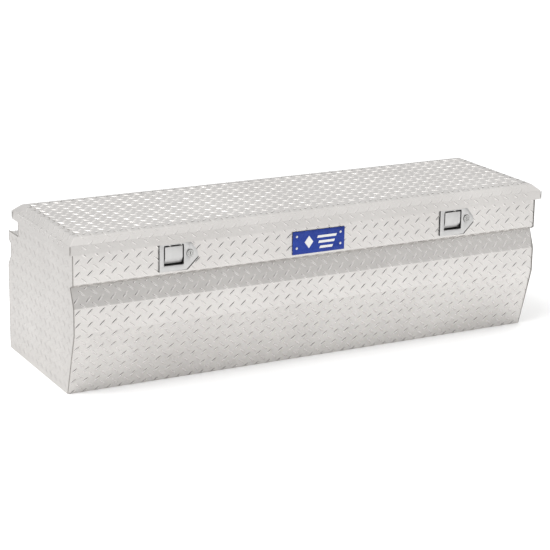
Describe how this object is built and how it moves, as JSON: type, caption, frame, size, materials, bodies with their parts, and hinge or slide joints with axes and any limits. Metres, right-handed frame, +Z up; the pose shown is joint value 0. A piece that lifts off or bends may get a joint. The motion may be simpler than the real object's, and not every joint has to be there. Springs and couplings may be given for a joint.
{
  "type": "truck tool box",
  "caption": "Aluminium tread-plate chest tool box for a pickup bed, with a bevelled overlapping lid on a rear piano hinge, gas struts and lockable paddle latches.",
  "frame": {"origin": "floor level, under the middle of the box", "axes": "+Z up, -Y towards the latches (front), +X to the right seen from the front"},
  "size_m": [1.524, 0.512, 0.455],
  "materials": {
    "tread_plate": "bright diamond tread",
    "plain_aluminium": "mill",
    "rivet_aluminium": "bright",
    "foam": "closed-cell foam",
    "rubber_seal": "matte",
    "stainless": "brushed",
    "zinc_steel": "zinc plated",
    "chrome_lock": "polished",
    "chrome_rod": "polished",
    "black_paint": "gloss",
    "black_plastic": "moulded",
    "badge_blue": "printed"
  },
  "bodies": {
    "box": {"badge_plate": "badge_blue", "badge_rivets": "rivet_aluminium", "bulb_seal": "rubber_seal", "end_panel_left": "tread_plate", "end_panel_right": "tread_plate", "floor_panel": "tread_plate", "front_panel": "tread_plate", "hinge_body_leaf": "zinc_steel", "hinge_body_rivets": "rivet_aluminium", "hinge_pin": "zinc_steel", "latch_case_left": "zinc_steel", "latch_case_right": "zinc_steel", "latch_gasket_left": "rubber_seal", "latch_gasket_right": "rubber_seal", "latch_housing_left": "stainless", "latch_housing_right": "stainless", "lock_barrel_left": "chrome_lock", "lock_barrel_right": "chrome_lock", "lock_nuts": "zinc_steel", "rear_panel": "tread_plate", "strut_body_ball_studs": "zinc_steel", "strut_body_bracket_left": "zinc_steel", "strut_body_bracket_right": "zinc_steel", "stud_nuts": "zinc_steel"},
    "lid": {"lid_skin": "tread_plate", "lid_inner_pan": "plain_aluminium", "lid_foam_core": "foam", "hinge_lid_leaf": "zinc_steel", "hinge_lid_rivets": "rivet_aluminium", "striker_left": "zinc_steel", "striker_right": "zinc_steel", "striker_screws": "zinc_steel", "strut_lid_bracket_left": "zinc_steel", "strut_lid_bracket_right": "zinc_steel", "strut_lid_ball_studs": "zinc_steel"},
    "paddle_left": {"latch_paddle_left": "stainless", "paddle_pin_left": "zinc_steel", "release_lever_left": "zinc_steel"},
    "bolt_left": {"latch_bolt_left": "zinc_steel", "bolt_spring_left": "zinc_steel"},
    "lock_left": {"lock_plug_left": "chrome_lock", "lock_cam_left": "zinc_steel"},
    "strut_cylinder_left": {"strut_cylinder_left": "black_paint", "strut_lid_socket_left": "black_plastic"},
    "strut_rod_left": {"strut_rod_left": "chrome_rod", "strut_piston_left": "zinc_steel", "strut_body_socket_left": "black_plastic"},
    "paddle_right": {"latch_paddle_right": "stainless", "paddle_pin_right": "zinc_steel", "release_lever_right": "zinc_steel"},
    "bolt_right": {"latch_bolt_right": "zinc_steel", "bolt_spring_right": "zinc_steel"},
    "lock_right": {"lock_plug_right": "chrome_lock", "lock_cam_right": "zinc_steel"},
    "strut_cylinder_right": {"strut_cylinder_right": "black_paint", "strut_lid_socket_right": "black_plastic"},
    "strut_rod_right": {"strut_rod_right": "chrome_rod", "strut_piston_right": "zinc_steel", "strut_body_socket_right": "black_plastic"}
  },
  "joints": [
    {"name": "lid_hinge", "type": "hinge", "parent": "box", "child": "lid", "pos_m": [0, 0.1769, 0.4045], "axis": [-1, 0, 0], "range_deg": [0, 75]},
    {"name": "paddle_pull_left", "type": "hinge", "parent": "box", "child": "paddle_left", "pos_m": [-0.454, -0.2375, 0.3965], "axis": [-1, 0, 0], "range_deg": [0, 35], "stiffness_Nm_per_rad": 0.3, "springref_deg": -8.59},
    {"name": "bolt_slide_left", "type": "slide", "parent": "box", "child": "bolt_left", "axis": [0, -1, 0], "range_m": [0, 0.0112], "deforming": ["bolt_spring_left"]},
    {"name": "key_turn_left", "type": "hinge", "parent": "box", "child": "lock_left", "pos_m": [-0.405, -0.24, 0.3747], "axis": [0, -1, 0], "range_deg": [-90, 0]},
    {"name": "paddle_pull_right", "type": "hinge", "parent": "box", "child": "paddle_right", "pos_m": [0.452, -0.2375, 0.3965], "axis": [-1, 0, 0], "range_deg": [0, 35], "stiffness_Nm_per_rad": 0.3, "springref_deg": -8.59},
    {"name": "bolt_slide_right", "type": "slide", "parent": "box", "child": "bolt_right", "axis": [0, -1, 0], "range_m": [0, 0.0112], "deforming": ["bolt_spring_right"]},
    {"name": "key_turn_right", "type": "hinge", "parent": "box", "child": "lock_right", "pos_m": [0.501, -0.24, 0.3747], "axis": [0, -1, 0], "range_deg": [-90, 0]},
    {"name": "strut_upper_left", "type": "hinge", "parent": "lid", "child": "strut_cylinder_left", "pos_m": [-0.708, -0.02254, 0.4195], "axis": [1, 0, 0], "range_deg": [0, 37.5]},
    {"name": "strut_lower_left", "type": "hinge", "parent": "box", "child": "strut_rod_left", "pos_m": [-0.708, 0.11079, 0.21574], "axis": [-1, 0, 0], "range_deg": [0, 37.5]},
    {"name": "strut_upper_right", "type": "hinge", "parent": "lid", "child": "strut_cylinder_right", "pos_m": [0.708, -0.02254, 0.4195], "axis": [1, 0, 0], "range_deg": [0, 37.5]},
    {"name": "strut_lower_right", "type": "hinge", "parent": "box", "child": "strut_rod_right", "pos_m": [0.708, 0.11079, 0.21574], "axis": [-1, 0, 0], "range_deg": [0, 37.5]}
  ],
  "couplings": [
    {"joint": "bolt_slide_left", "follows": "paddle_pull_left", "m_per_rad": 0.018171},
    {"joint": "bolt_slide_right", "follows": "paddle_pull_right", "m_per_rad": 0.018171},
    {"joint": "strut_upper_left", "follows": "lid_hinge", "ratio": 0.5},
    {"joint": "strut_lower_left", "follows": "lid_hinge", "ratio": 0.5},
    {"joint": "strut_upper_right", "follows": "lid_hinge", "ratio": 0.5},
    {"joint": "strut_lower_right", "follows": "lid_hinge", "ratio": 0.5}
  ]
}
